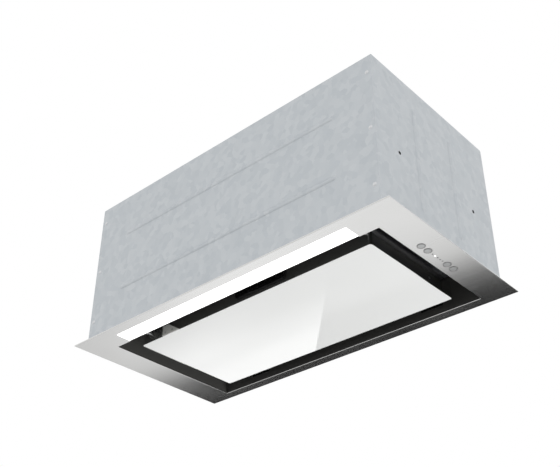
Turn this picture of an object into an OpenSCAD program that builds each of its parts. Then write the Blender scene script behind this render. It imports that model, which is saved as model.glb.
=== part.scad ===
// Built-in range hood, 60 cm, with a perimeter suction panel that swings down.
// The origin is the centre of the fascia, on the plane where it meets the cabinet.
// +Z points up into the cabinet, -Y towards the user and +X to the user's right.

/* [Fascia] */
// Width of the steel fascia
fascia_w = 598; // [580:1:620]
// Depth of the steel fascia, front to rear
fascia_d = 305; // [296:1:330]
// Thickness of the fascia sheet
sheet_t = 1; // [0.8:0.1:1.4]
// Width of the folded hem that meets the cabinet
hem_w = 8; // [5:0.5:9]
// Width of the side rails
rail_side = 49; // [47:1:60]
// Width of the front rail
rail_front = 46; // [42:0.5:56]
// Width of the rear rail
rail_rear = 18.5; // [17:0.5:26]
// Rounding of the opening's edge
edge_r = 0.6; // [0.2:0.1:0.8]
// Radius of the weld studs that hold the fascia
stud_r = 1.5; // [1:0.25:2]

/* [Housing] */
// Distance from the fascia's side edge to the housing
inset_side = 19; // [17:0.5:22]
// Distance from the fascia's front and rear edges to the housing
inset_end = 11; // [9:0.5:12]
// Thickness of the galvanised sheet
body_t = 0.8; // [0.6:0.1:1.2]
// Outer radius of the housing's bends
bend_r = 3; // [1.5:0.5:5]
// Width of the side plates' flanges
flange_w = 14; // [10:1:18]
// Width of the housing's bottom flanges
foot_w = 16; // [12:1:18]
// Radius of the stamped beads
bead_r = 6; // [4:0.5:9]
// How far a bead stands out of the sheet
bead_h = 1.5; // [0.8:0.1:2.5]
// Radius of the rivet shanks
rivet_r = 1.6; // [1.2:0.1:2.4]
// Radius of the cabinet screw holes in the side plates
cabinet_hole_r = 2.75; // [2:0.25:3.5]
// Distance between the two cabinet screw holes of a side
cabinet_hole_span = 180; // [120:5:220]
// Height of the cabinet screw holes
cabinet_hole_z = 110; // [90:5:140]

/* [Recess frame] */
// Height from the cabinet plane to the ledge over the filters
recess_h = 61; // [56:1:70]
// Thickness of the recess walls
recess_t = 1.5; // [1.2:0.1:2.5]
// How far the ledge reaches in over the filters
ledge_w = 7; // [4:0.5:10]
// How far the frame's foot reaches out at the sides
recess_foot = 27; // [24:0.5:28]

/* [Lamp] */
// Distance from the opening's side edge to the lit window
lamp_side = 30; // [20:1:100]
// Depth of the lit window
lamp_d = 28; // [22:0.5:32]
// Radius of the lit window's front corners
lamp_r = 2.5; // [0.5:0.5:4]
// Thickness of the diffuser
diffuser_t = 2.5; // [1.8:0.1:4]
// Height of the lamp's tray
lamp_h = 14; // [10:0.5:22]
// Thickness of the lamp's aluminium sheet
lamp_t = 1; // [0.8:0.1:1.5]
// Number of light emitters in the row
led_count = 20; // [8:1:30]

/* [Panel] */
// Width of the suction slots left and right of the panel
slot_side = 30; // [24:0.5:36]
// Width of the suction slots in front of and behind the panel
slot_end = 24; // [22:0.5:30]
// Thickness of the glass
glass_t = 4; // [3:0.5:6]
// How far the glass lies above the fascia's face
glass_recess = 1; // [0:0.1:2]
// Radius of the panel's corners
panel_r = 4; // [2:0.5:12]
// Height of the tray behind the glass
tray_h = 22; // [18:1:26]
// Thickness of the tray's sheet
tray_t = 1; // [0.8:0.1:1.5]
// Radius of the hole in each side wall of the tray
tray_hole_r = 2.3; // [1:0.1:4]
// Distance of that hole behind the middle of the fascia
tray_hole_y = 52; // [0:1:80]
// Height of that hole
tray_hole_z = 8; // [6.5:0.5:12]

/* [Hinges and catches] */
// Distance from the panel's rear edge back to the hinge axis
hinge_back = 5.5; // [5.3:0.1:6]
// Height of the hinge axis
hinge_z = 14; // [12:0.5:15]
// Distance from the panel's side edge to each hinge
hinge_side = 50; // [30:1:120]
// Radius of the hinge pins
hinge_pin_r = 2; // [1.5:0.1:2.4]
// Outer radius of the hinge ears
hinge_ear_r = 4; // [3.6:0.1:4.2]
// Distance from the panel's side edge to each catch's fork
catch_side = 8; // [8:1:40]
// Width of a catch's plate
catch_w = 17; // [16:0.5:22]
// Height of a catch's plate
catch_h = 14; // [12:1:20]
// Width of the foot of the pale guide plate on the left of the recess's front wall
guide_w = 40; // [32:1:50]
// Width of that plate's top
guide_top_w = 13; // [11:1:30]
// Height of that plate
guide_h = 18; // [12:1:24]
// Distance from the opening's side edge to that plate
guide_side = 49; // [46:1:60]
// Radius of the studs on the tray
catch_stud_r = 2.5; // [1.5:0.1:3]
// Width of the cover over the lamp's leads
cover_w = 94; // [60:1:120]
// Offset of that cover from the middle
cover_x = 8; // [-20:1:20]

/* [Controls] */
// Distance from the opening's edge to the line of the buttons
button_inset = 15.3; // [14.5:0.1:16]
// Radius of a button
button_r = 5.8; // [4.5:0.1:6]
// Distance from the middle of the group to the inner buttons
button_near = 22.5; // [21:0.1:26]
// Distance from an inner button to the outer one
button_pitch = 15.3; // [14.8:0.1:18]
// Travel of a button
button_travel = 1.2; // [0.4:0.1:1.5]
// How far the buttons stand out of the fascia
button_proud = 0.8; // [0.5:0.1:2]
// Width of the low bevel round a button's face
button_bevel = 1.4; // [0.5:0.1:2.5]
// Position of the group behind the middle of the fascia
group_y = 1.4; // [-20:0.2:20]
// Distance between the indicator lights
light_pitch = 5.8; // [4.5:0.1:7]
// Radius of an indicator light
light_r = 1.2; // [0.8:0.1:1.6]
// Width of the control carrier
carrier_w = 21; // [18:0.5:22]

/* [Filters] */
// Thickness of a filter cassette
filter_t = 9; // [8:0.5:12]
// Width of a filter's edge channel
filter_rim = 8; // [6:0.5:12]
// Wall of the edge channel
filter_wall = 1; // [0.8:0.1:1.5]
// Pleats of the aluminium mesh in each filter
pleats = 44; // [20:1:60]
// Thickness of the mesh
mesh_t = 0.6; // [0.4:0.1:1]
// Travel of a filter's latch
latch_travel = 5; // [4:0.5:6]

/* [Blower] */
// Outer radius of the impeller
impeller_r = 66; // [60:0.5:70]
// Width of the impeller
impeller_w = 100; // [80:1:110]
// Number of blades
blades = 36; // [24:1:44]
// Radial depth of the blades
blade_d = 11; // [8:0.5:12]
// Thickness of a blade
blade_t = 1; // [0.8:0.1:1.6]
// Gap between impeller and scroll at the tongue
tongue_gap = 5; // [4:0.5:8]
// How much the scroll's radius grows from the tongue to the outlet
scroll_grow = 29; // [20:1:32]
// Wall of the scroll
scroll_t = 2; // [1.5:0.1:3]
// Space between the impeller's end and the scroll's side wall
side_gap = 6; // [4:0.5:10]
// Radius of the scroll's inlets
inlet_r = 54; // [48:0.5:54]
// Distance from the middle to the blower's axis
blower_y = -30; // [-34:1:-26]
// Space between the filters' ledge and the scroll
scroll_clear = 5; // [3:0.5:12]

/* [Motor] */
// Outer radius of the motor
motor_r = 38; // [34:0.5:42]
// Length of the laminated core
core_l = 30; // [20:1:34]
// Depth of a motor end cap
cap_l = 16; // [13:0.5:18]
// Radius of the motor shaft
shaft_r = 4; // [3:0.1:5]
// Radius of the circle of the motor's three bushes
bush_ring_r = 71; // [69:0.5:72]
// Radius of a rubber bush
bush_r = 6; // [4:0.1:7]

/* [Outlet] */
// Outer diameter of the duct collar
duct_d = 150; // [147:0.5:152]
// Height of the collar
collar_h = 45; // [35:1:60]
// Wall of the collar
collar_t = 2; // [1.5:0.1:3]
// Thickness of a flap
flap_t = 1.5; // [1:0.1:2]

/* [Electrics] */
// Width of the control box
box_w = 110; // [90:1:114]
// Depth of the control box
box_d = 140; // [120:1:160]
// Height of the control box
box_h = 55; // [45:1:62]
// Wall of the control box
box_t = 2; // [1.5:0.1:3]
// Radius of the motor capacitor
cap_r = 15; // [12:0.5:18]
// Radius of the hole in the cable gland
cable_r = 4; // [3:0.1:5]

/* [Fits] */
// Gap between pieces that move past each other or lie loosely
play = 0.3; // [0.25:0.05:0.4]
// Radial clearance of a pin that turns in its hole
pin_play = 0.05; // [0.02:0.01:0.08]

/* [Hidden] */
$fn = 48;

steel = "#b9bbbd";
galvanised = "#9fa6ab";
black = "#1b1c1e";
white = "#eef0f2";
copper = "#b06a3a";
zinc = "#b5b8ba";
dark_grey = "#454542";
board_green = "#2f6b45";

// Half sizes and edges of the fascia, the opening and the housing
face_z = -2 * sheet_t;
back_z = -sheet_t;
half_w = fascia_w / 2;
half_d = fascia_d / 2;
open_x = half_w - rail_side;
open_front = -half_d + rail_front;
open_rear = half_d - rail_rear;
body_x = half_w - inset_side;
body_front = -half_d + inset_end;
body_rear = half_d - inset_end;
lamp_x = open_x - lamp_side;
lamp_rear = open_front - recess_t;
lamp_front = lamp_rear - lamp_d + recess_t;
lamp_z = back_z + diffuser_t - sheet_t;
lamp_lip = 2;

// Panel
panel_x = open_x - slot_side;
panel_front = open_front + slot_end;
panel_rear = open_rear - slot_end;
glass_z = face_z + glass_recess;
tray_z = glass_z + glass_t;
tray_top = tray_z + tray_h;
tray_lip = 6;
hinge_x = panel_x - hinge_side;
hinge_y = panel_rear + hinge_back;
leaf_t = 1.5;
ear_t = 2;
leaf_ear_x = 5;
screw_r = 1.5;
bracket_face = open_rear - leaf_t;

// Catches and the cover between them
catch_x = panel_x - catch_side;
catch_z = tray_top - 5;
guide_x = -open_x + guide_side;
guide_z = tray_top - guide_h / 2;
guide_t = 2;
catch_stud_z = tray_top - catch_stud_r - 2;
catch_t = 1.2;
catch_reach = 15;
catch_plate_t = 2;
cover_h = 26;
cover_d = 6;

// Controls
button_x = open_x + button_inset;
button_y = [
    group_y - button_near - button_pitch, group_y - button_near,
    group_y + button_near, group_y + button_near + button_pitch
];
light_y = [for (i = [-2 : 2]) group_y + i * light_pitch];
lit_light = 1;
button_flange_r = button_r + 0.8;
button_flange_t = 1;
button_edge = 0.4;
button_stem_r = 3;
carrier_y0 = button_y[0] - button_flange_r - 6;
carrier_y1 = button_y[3] + button_flange_r + 6;
carrier_top = 8;
pocket_top = 3.5;
switch_t = 3.5;
board_t = 1.6;
carrier_board_z = carrier_top + play + button_travel + play + switch_t + 1;
stem_top = carrier_board_z - switch_t - button_travel - play;

// Filters
filter_gap = 1;
filter_top = recess_h - play;
filter_z = filter_top - filter_t;
filter_w = open_x - 1.5 * filter_gap;
filter_mid = open_x / 2;
filter_y0 = open_front + filter_gap;
filter_y1 = open_rear - filter_gap;
filter_tab_x = 70;
filter_tab_w = 30;
filter_tab_t = 2;
filter_tab_z = filter_z + 3;
latch_pad_w = 60;
latch_pad_d = 30;
latch_slider_w = 20;
latch_slider_d = 15;
latch_slider_t = 4.6;
latch_bolt_w = 8;
latch_bolt_t = 3;
latch_bolt_z = filter_z + 1.5;
latch_y0 = filter_y0 + 3.5;
latch_tip = open_front - recess_t - 1;

// Blower: the scroll is drawn about its axis in a plane with u along +Y and v along +Z
ledge_top = recess_h + recess_t;
scroll_r0 = impeller_r + tongue_gap;
scroll_r1 = scroll_r0 + scroll_grow;
tongue_a = 60;
sweep = 360 - tongue_a;
scroll_steps = 60;
outlet_in = scroll_r0 * cos(tongue_a);
scroll_x = impeller_w / 2 + side_gap;
scroll_out_x = scroll_x + scroll_t;
scroll_low = scroll_r0 + scroll_grow * (270 - tongue_a) / sweep + scroll_t;
scroll_high = scroll_r0 + scroll_grow * (90 - tongue_a) / sweep + scroll_t;
rim = 5;
rim_t = 2;
blower_z = ledge_top + scroll_clear + scroll_low + rim;
body_h = blower_z + scroll_high + rim + 4;
plate_t = 2.5;
outlet_mid = (outlet_in + scroll_r1) / 2;
collar_y = blower_y + outlet_mid;
collar_r = duct_d / 2;
collar_screw_r = 2;
collar_head_r = 3.5;
collar_screw = (collar_r + 10) / sqrt(2);
collar_plate = 2 * collar_screw + 22;
collar_foot_t = 3;
disc_x = 6;
disc_t = 2;
hub_r = 10;
hub_l = 18;
scroll_lug_a = [100, 150, 200, 250, 300, 345];
lug_r = 4.5;
lug_l = 6;
scroll_screw_r = 1.5;
lug_out = 2 * scroll_screw_r + play;

// Motor, along X from its outer end
motor_x1 = disc_x - 7;
core_x1 = motor_x1 - cap_l;
core_x0 = core_x1 - core_l;
motor_x0 = core_x0 - cap_l;
core_bore = motor_r * 0.47;
cap_wall = 2;
bracket_t = 2;
bush_a = [30, 150, 270];
boss_t = 1;

// Outlet flaps
collar_in = collar_r - collar_t;
flap_z = body_h + 9;
flap_off = 5;
flap_r = collar_in - 1.2;
flap_pin_r = 2;
flap_bar = flap_off - flap_pin_r - 2 * play;
flap_lug = 9;
seat_w = 6;

// Control box, on the right of the blower under the top sheet
box_x1 = body_x - body_t - flange_w - play;
box_x0 = box_x1 - box_w;
box_y0 = -box_d / 2;
box_top = body_h - body_t;
box_z = box_top - box_h;
gland_x = box_x1 - 22;
gland_y = box_y0 + 26;
gland_r = 8;
gland_head = 12;
pcb_z = box_top - box_t - 12;
pcb_front = box_y0 + 50;

function polar(r, a) = [r * cos(a), r * sin(a)];
function spiral_r(a) = scroll_r0 + scroll_grow * (a - tongue_a) / sweep;

module block(low, high) {
    translate(low) cube(high - low);
}

module rod_x(r, x0, x1, y, z) {
    translate([x0, y, z]) rotate([0, 90, 0]) cylinder(r = r, h = x1 - x0);
}

module rod_y(r, x, y0, y1, z) {
    translate([x, y1, z]) rotate([90, 0, 0]) cylinder(r = r, h = y1 - y0);
}

module rod_z(r, x, y, z0, z1) {
    translate([x, y, z0]) cylinder(r = r, h = z1 - z0);
}

// A flat shape drawn in the plane of Y and Z, thickened along X from x0 to x1
module yz_slab(x0, x1) {
    translate([x0, 0, 0]) rotate([90, 0, 90]) linear_extrude(x1 - x0) children();
}

module both_sides() {
    children();
    mirror([1, 0, 0]) children();
}

// A flat rectangle with round corners
module soft_rect(x0, x1, y0, y1, r) {
    translate([x0 + r, y0]) square([x1 - x0 - 2 * r, y1 - y0]);
    translate([x0, y0 + r]) square([x1 - x0, y1 - y0 - 2 * r]);
    for (x = [x0 + r, x1 - r], y = [y0 + r, y1 - r]) translate([x, y]) circle(r);
}

module at_studs() {
    for (s = [-1, 1], y = [open_front - 8, open_front + 30, open_rear - 50, open_rear - 10])
        translate([s * (body_x - 7), y, 0]) children();
}

// A slab with a half-round edge at both ends of y, as thick as the folded hem
module hemmed_slab(x, y) {
    translate([-x, 0, 0]) rotate([90, 0, 90]) linear_extrude(2 * x) {
        translate([-y + sheet_t, face_z]) square([2 * (y - sheet_t), 2 * sheet_t]);
        for (s = [-1, 1]) translate([s * (y - sheet_t), back_z]) circle(r = sheet_t);
    }
}

// What is taken off the sharp lower corner of an edge that runs along X, with the hole on its -Y side
module edge_cut(length) {
    r = edge_r;
    arc = [for (a = [270 : -15 : 180]) [r + r * cos(a), r + r * sin(a)]];
    yz_slab(-length / 2, length / 2) polygon(concat([[-1, -1], [r, -1]], arc, [[-1, r]]));
}

module fascia() {
    color(steel) {
        difference() {
            intersection() {
                hemmed_slab(half_w, half_d);
                rotate([0, 0, 90]) hemmed_slab(half_d, half_w);
            }
            block([-half_w + hem_w, -half_d + hem_w, back_z], [half_w - hem_w, half_d - hem_w, 1]);
            block([-open_x, open_front, face_z - 1], [open_x, open_rear, 1]);
            translate([0, 0, face_z - 1]) linear_extrude(4 * sheet_t)
                soft_rect(-lamp_x, lamp_x, lamp_front, open_front + 2 * lamp_r, lamp_r);
            translate([0, open_rear, face_z]) edge_cut(2 * open_x);
            for (s = [-1, 1]) {
                translate([s * open_x, (open_front + open_rear) / 2, face_z])
                    rotate([0, 0, -s * 90]) edge_cut(open_rear - open_front);
            }
            for (y = button_y) rod_z(button_r + play / 2, button_x, y, face_z - 1, 0);
            for (y = light_y) rod_z(light_r + play / 3, button_x, y, face_z - 1, 0);
        }
        at_studs() translate([0, 0, back_z]) cylinder(r = stud_r, h = 9);
    }
}

module fascia_nuts() {
    color(zinc) at_studs() difference() {
        union() {
            translate([0, 0, body_t]) cylinder(r = 2.1 * stud_r, h = 2, $fn = 6);
            translate([0, 0, body_t]) cylinder(r = 2.5 * stud_r, h = 0.6);
        }
        translate([0, 0, -1]) cylinder(r = stud_r, h = 9);
    }
}

module recess_frame() {
    filter_slots = [-filter_mid, filter_mid];
    tab = filter_tab_w / 2 + play;
    color(dark_grey) difference() {
        union() {
            difference() {
                block(
                    [-open_x - recess_t, lamp_rear, back_z],
                    [open_x + recess_t, open_rear + recess_t, ledge_top]
                );
                block([-open_x, open_front, back_z - 1], [open_x, open_rear, recess_h]);
                for (s = [0, 1]) mirror([s, 0, 0]) block(
                    [ledge_w, open_front + ledge_w, recess_h - 1],
                    [open_x - ledge_w, open_rear - ledge_w, ledge_top + 1]
                );
            }
            for (s = [-1, 1]) block(
                [min(s * open_x, s * (open_x + recess_foot)), lamp_rear - 12, back_z],
                [max(s * open_x, s * (open_x + recess_foot)), open_rear + recess_t, 0]
            );
        }
        block([-open_x, lamp_rear - 20, back_z - 1], [open_x, lamp_rear, ledge_top]);
        block([-open_x, open_front, back_z - 1], [open_x, open_rear, recess_h]);
        guide_screw_spots() rod_y(screw_r + pin_play, 0, lamp_rear - 1, open_front + 1, 0);
        block(
            [button_x - carrier_w / 2 - play, carrier_y0 - play, back_z - 1],
            [button_x + carrier_w / 2 + 20, carrier_y1 + play, 1]
        );
        at_studs() translate([0, 0, -3]) cylinder(r = stud_r + play, h = 6);
        both_sides() {
            bracket_screw_spots() rod_y(screw_r + pin_play, 0, open_rear - 1, open_rear + recess_t + 1, 0);
            catch_screw_spots() rod_y(screw_r + pin_play, 0, lamp_rear - 1, open_front + 1, 0);
        }
        for (x = filter_slots) {
            block(
                [x - latch_bolt_w / 2 - play, lamp_rear - 1, latch_bolt_z - play],
                [x + latch_bolt_w / 2 + play, open_front + 1, latch_bolt_z + latch_bolt_t + play]
            );
            for (s = [-1, 1]) block(
                [x + s * filter_tab_x - tab, open_rear - 1, filter_tab_z - play],
                [x + s * filter_tab_x + tab, open_rear + recess_t + 1, filter_tab_z + filter_tab_t + play]
            );
        }
    }
}

// The housing's outline from the side, from the height low up to its round upper corners
module wrap_profile(grow, low) {
    y0 = body_front - grow;
    y1 = body_rear + grow;
    r = bend_r + grow;
    top = body_h + grow;
    translate([y0, low]) square([y1 - y0, top - r - low]);
    translate([y0 + r, 0]) square([y1 - y0 - 2 * r, top]);
    for (y = [y0 + r, y1 - r]) translate([y, top - r]) circle(r);
}

function rivet_spots() = concat(
    [for (s = [-1, 1], z = [35, body_h / 2, body_h - 30]) [s, 0, z]],
    [for (s = [-1, 1], z = [35, body_h / 2, body_h - 30]) [s, 1, z]],
    [for (s = [-1, 1], y = [body_front + 35, body_rear - 35]) [s, 2, y]]
);

// Places a child whose axis is Z at each rivet, with Z pointing out of the housing
module at_rivets() {
    for (p = rivet_spots()) {
        x = p[0] * (body_x - flange_w / 2 - body_t);
        if (p[1] == 0) translate([x, body_front, p[2]]) rotate([90, 0, 0]) children();
        if (p[1] == 1) translate([x, body_rear, p[2]]) rotate([-90, 0, 0]) children();
        if (p[1] == 2) translate([x, p[2], body_h]) children();
    }
}

// A rod along Z with cone ends, its axis behind the sheet, so that a low bead stands out of it
module bead(length, shrink) {
    r = bead_r - shrink;
    tip = 3 * bead_h;
    translate([0, 0, -length / 2]) cylinder(r = r, h = length);
    for (s = [0, 1]) mirror([0, 0, s]) translate([0, 0, length / 2])
        cylinder(r1 = r, r2 = r - bead_h, h = tip);
}

module wrap_beads(shrink) {
    length = 1.5 * body_x;
    for (y = [body_front + bead_r - bead_h, body_rear - bead_r + bead_h], z = [0.3 * body_h, 0.7 * body_h])
        translate([0, y, z]) rotate([0, 90, 0]) bead(length, shrink);
}

module side_beads(shrink) {
    for (y = [-0.25 * cabinet_hole_span, 0.25 * cabinet_hole_span])
        translate([body_x - bead_r + bead_h, y, body_h / 2]) bead(0.65 * body_h, shrink);
}

module housing_wrap() {
    inner_x = body_x - body_t;
    foot = 4.5;
    color(galvanised) difference() {
        union() {
            difference() {
                union() {
                    yz_slab(-inner_x, inner_x) wrap_profile(0, 0);
                    wrap_beads(0);
                }
                yz_slab(-body_x, body_x) wrap_profile(-body_t, -1);
                wrap_beads(body_t);
            }
            block([-inner_x, body_front + body_t / 2, 0], [inner_x, body_front + foot, body_t]);
            block([-inner_x, body_rear - foot, 0], [inner_x, body_rear - body_t / 2, body_t]);
        }
        block(
            [-scroll_x, blower_y + outlet_in, body_h - 2],
            [scroll_x, blower_y + scroll_r1, body_h + 1]
        );
        at_collar_screws() translate([0, 0, body_h - 3]) cylinder(r = collar_screw_r + 0.2, h = 6);
        translate([gland_x, gland_y, body_h - 2]) cylinder(r = gland_r + 0.1, h = 4);
        at_rivets() translate([0, 0, -3]) cylinder(r = rivet_r + pin_play, h = 6);
    }
}

module side_plate() {
    inner_x = body_x - body_t;
    color(galvanised) difference() {
        union() {
            difference() {
                union() {
                    yz_slab(inner_x, body_x) wrap_profile(0, 0);
                    side_beads(0);
                }
                block([0, body_front, 1], [inner_x, body_rear, body_h - 1]);
                side_beads(body_t);
            }
            yz_slab(inner_x - flange_w, inner_x) difference() {
                wrap_profile(-body_t, 0);
                wrap_profile(-2 * body_t, -1);
            }
            block([body_x - foot_w, body_front + 6, 0], [inner_x, body_rear - 6, body_t]);
        }
        at_studs() translate([0, 0, -3]) cylinder(r = stud_r + play, h = 6);
        for (s = [-1, 1])
            rod_x(cabinet_hole_r, inner_x - 1, body_x + 1, s * cabinet_hole_span / 2, cabinet_hole_z);
        at_rivets() translate([0, 0, -3]) cylinder(r = rivet_r + pin_play, h = 6);
        yz_slab(inner_x - flange_w - 1, inner_x) {
            translate([body_front - 1, -1]) square([6.5, 14]);
            translate([body_rear - 5.5, -1]) square([6.5, 14]);
        }
    }
}

module side_plate_right() {
    difference() {
        side_plate();
        block(
            [body_x - foot_w - 1, carrier_y0 - 3, -1],
            [body_x - body_t - play, carrier_y1 + 3, body_t + 1]
        );
    }
}

module side_plate_left() {
    mirror([1, 0, 0]) side_plate();
}

module housing_rivets() {
    color(zinc) at_rivets() {
        translate([0, 0, -2 * body_t]) cylinder(r = rivet_r, h = 2 * body_t);
        cylinder(r1 = 2 * rivet_r, r2 = 1.2 * rivet_r, h = 1);
        translate([0, 0, -2 * body_t - 1]) cylinder(r = 1.5 * rivet_r, h = 1);
    }
}

module lamp_diffuser() {
    color(white) {
        difference() {
            translate([0, 0, face_z]) linear_extrude(sheet_t)
                soft_rect(-lamp_x + play, lamp_x - play, lamp_front + play, open_front, lamp_r - play);
            block([-lamp_x, lamp_rear - play, face_z - 1], [lamp_x, open_front + 1, back_z + 1]);
        }
        block(
            [-lamp_x - lamp_lip, lamp_front - lamp_lip, back_z],
            [lamp_x + lamp_lip, lamp_rear - play, lamp_z]
        );
    }
}

module lamp_tray() {
    x = lamp_x + lamp_lip;
    y0 = lamp_front - lamp_lip;
    y1 = lamp_rear - play;
    color(zinc) difference() {
        block([-x, y0, lamp_z], [x, y1, lamp_h]);
        block([-x + lamp_t, y0 + lamp_t, lamp_z - 1], [x - lamp_t, y1 - lamp_t, lamp_h - lamp_t]);
    }
}

module led_board() {
    mid = (lamp_front + lamp_rear) / 2;
    top = lamp_h - lamp_t;
    pitch = (2 * lamp_x - 20) / led_count;
    color(white) {
        block([-lamp_x + 4, mid - 8, top - 1.5], [lamp_x - 4, mid + 8, top]);
        for (i = [0 : led_count - 1]) translate([(i - (led_count - 1) / 2) * pitch, mid, top - 1.9])
            cube([3, 3, 0.8], center = true);
    }
}

module lamp_lead_cover() {
    z0 = tray_top - 3;
    r = 3;
    color(black) difference() {
        translate([cover_x, 0, z0]) rotate([90, 0, 0]) translate([0, 0, -open_front - cover_d])
            linear_extrude(cover_d) soft_rect(-cover_w / 2, cover_w / 2, 0, cover_h, r);
        translate([cover_x, 0, z0]) rotate([90, 0, 0]) translate([0, 0, -open_front - cover_d + 1.5])
            linear_extrude(cover_d)
                soft_rect(-cover_w / 2 + 1.5, cover_w / 2 - 1.5, 1.5, cover_h - 1.5, r - 1);
        for (i = [-3 : 3]) block(
            [cover_x + i * 9 - 2, open_front + cover_d - 2, z0 + 6],
            [cover_x + i * 9 + 2, open_front + cover_d + 1, z0 + cover_h - 6]
        );
    }
}

module catch_screw_spots() {
    for (s = [-1, 1]) translate([catch_x + s * (catch_w / 2 - 3.5), 0, catch_z + catch_h - 5]) children();
}

module guide_screw_spots() {
    for (x = [guide_top_w / 2, guide_w / 2 + 2]) translate([guide_x + x, 0, guide_z + 6]) children();
}

// A plate on the front wall, and a fork that reaches out from it and grips the tray's stud
module catch_right() {
    y0 = open_front;
    finger = catch_stud_r + play;
    fork_x = finger + catch_t;
    fork_z = catch_stud_z + finger;
    color(black) difference() {
        translate([catch_x, 0, 0]) {
            block([-catch_w / 2, y0, catch_z], [catch_w / 2, y0 + catch_plate_t, catch_z + catch_h]);
            block([-fork_x, y0, fork_z], [fork_x, y0 + catch_reach, fork_z + catch_t]);
            for (s = [-1, 1]) translate([s * (finger + catch_t / 2), 0, 0])
                block([-catch_t / 2, y0 + 5, fork_z - 8], [catch_t / 2, y0 + catch_reach, fork_z + catch_t]);
            yz_slab(-catch_t / 2, catch_t / 2)
                polygon([[y0, fork_z], [y0 + catch_reach, fork_z], [y0, catch_z + catch_h]]);
        }
        catch_screw_spots() rod_y(screw_r + pin_play, 0, y0 - 1, y0 + catch_plate_t + 1, 0);
    }
}

module catch_left() {
    mirror([1, 0, 0]) catch_right();
}

// A flat plate that narrows towards its top, with a sloped lower edge that leads the tray in
module tray_guide() {
    y0 = open_front;
    y1 = y0 + guide_t;
    top = guide_z + guide_h;
    color(white) difference() {
        translate([0, y1, 0]) rotate([90, 0, 0]) linear_extrude(guide_t) polygon([
            [guide_x, guide_z], [guide_x + guide_w, guide_z], [guide_x + guide_top_w, top], [guide_x, top]
        ]);
        yz_slab(guide_x - 1, guide_x + guide_w + 1) polygon([
            [y0 + guide_t / 2, guide_z - 1], [y1 + 1, guide_z - 1],
            [y1 + 1, guide_z + 2 * guide_t], [y0 + guide_t / 2, guide_z]
        ]);
        guide_screw_spots() rod_y(screw_r + pin_play, 0, y0 - 1, y1 + 1, 0);
    }
}

module panel_outline(inset) {
    soft_rect(
        -panel_x + inset, panel_x - inset, panel_front + inset, panel_rear - inset, max(panel_r - inset, 0.8)
    );
}

module panel_glass() {
    color(white) translate([0, 0, glass_z]) linear_extrude(glass_t) panel_outline(tray_t);
}

// The glass lies in the tray, whose walls reach down round it to the glass's face
module panel_tray() {
    color(steel) difference() {
        translate([0, 0, glass_z]) linear_extrude(glass_t + tray_h) panel_outline(0);
        translate([0, 0, glass_z - 1]) linear_extrude(glass_t + 1) panel_outline(tray_t);
        translate([0, 0, tray_z + tray_t]) linear_extrude(tray_h - 2 * tray_t) panel_outline(tray_t);
        translate([0, 0, tray_top - 2 * tray_t]) linear_extrude(3 * tray_t) panel_outline(tray_lip);
        rod_x(tray_hole_r, -panel_x - 1, panel_x + 1, tray_hole_y, tray_hole_z);
    }
}

module catch_studs() {
    color(zinc) both_sides() {
        rod_y(catch_stud_r, catch_x, open_front + 7, panel_front, catch_stud_z);
        rod_y(catch_stud_r + 1.5, catch_x, panel_front - 1.2, panel_front, catch_stud_z);
    }
}

module hinge_leaf() {
    y1 = panel_rear + leaf_t;
    color(black) difference() {
        union() {
            block([hinge_x - 15, panel_rear, hinge_z - 5], [hinge_x + 15, y1, hinge_z + 8]);
            for (s = [-1, 1]) {
                x0 = hinge_x + s * leaf_ear_x - ear_t / 2;
                rod_x(hinge_ear_r, x0, x0 + ear_t, hinge_y, hinge_z);
                block([x0, panel_rear, hinge_z - hinge_ear_r], [x0 + ear_t, hinge_y, hinge_z + hinge_ear_r]);
            }
        }
        rod_x(hinge_pin_r + pin_play, hinge_x - 20, hinge_x + 20, hinge_y, hinge_z);
    }
}

module hinge_leaf_right() {
    hinge_leaf();
}

module hinge_leaf_left() {
    mirror([1, 0, 0]) hinge_leaf();
}

module bracket_screw_spots() {
    for (s = [-1, 1]) translate([hinge_x + s * 13, 0, hinge_z + 14]) children();
}

module hinge_bracket() {
    ear_x = leaf_ear_x + ear_t + play;
    color(black) difference() {
        union() {
            block(
                [hinge_x - 18, bracket_face, hinge_z - hinge_ear_r],
                [hinge_x + 18, open_rear, hinge_z + 20]
            );
            for (s = [-1, 1]) {
                x0 = hinge_x + s * ear_x - ear_t / 2;
                rod_x(hinge_ear_r, x0, x0 + ear_t, hinge_y, hinge_z);
                block(
                    [x0, hinge_y, hinge_z - hinge_ear_r],
                    [x0 + ear_t, bracket_face, hinge_z + hinge_ear_r]
                );
            }
        }
        rod_x(hinge_pin_r + pin_play, hinge_x - 20, hinge_x + 20, hinge_y, hinge_z);
        bracket_screw_spots() rod_y(screw_r + pin_play, 0, bracket_face - 1, open_rear + 1, 0);
    }
}

module hinge_bracket_right() {
    hinge_bracket();
}

module hinge_bracket_left() {
    mirror([1, 0, 0]) hinge_bracket();
}

module hinge_pins() {
    reach = leaf_ear_x + 1.5 * ear_t + 2 * play;
    color(steel) both_sides() {
        rod_x(hinge_pin_r, hinge_x - reach, hinge_x + reach + 1, hinge_y, hinge_z);
        rod_x(hinge_pin_r + 1, hinge_x - reach - 1, hinge_x - reach, hinge_y, hinge_z);
    }
}

// Screws that hold the hinge brackets to the recess's rear wall and, from outside, the catches and the
// guide to its front wall
module recess_screws() {
    head = 1.5;
    color(zinc) {
        both_sides() {
            bracket_screw_spots() {
                rod_y(screw_r, 0, bracket_face, open_rear + recess_t + 2, 0);
                rod_y(2 * screw_r, 0, bracket_face - head, bracket_face, 0);
            }
            catch_screw_spots() {
                rod_y(screw_r, 0, lamp_rear, open_front + catch_plate_t, 0);
                rod_y(2 * screw_r, 0, lamp_rear - head, lamp_rear, 0);
            }
        }
        guide_screw_spots() {
            rod_y(screw_r, 0, lamp_rear, open_front + guide_t, 0);
            rod_y(2 * screw_r, 0, lamp_rear - head, lamp_rear, 0);
        }
    }
}

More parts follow.
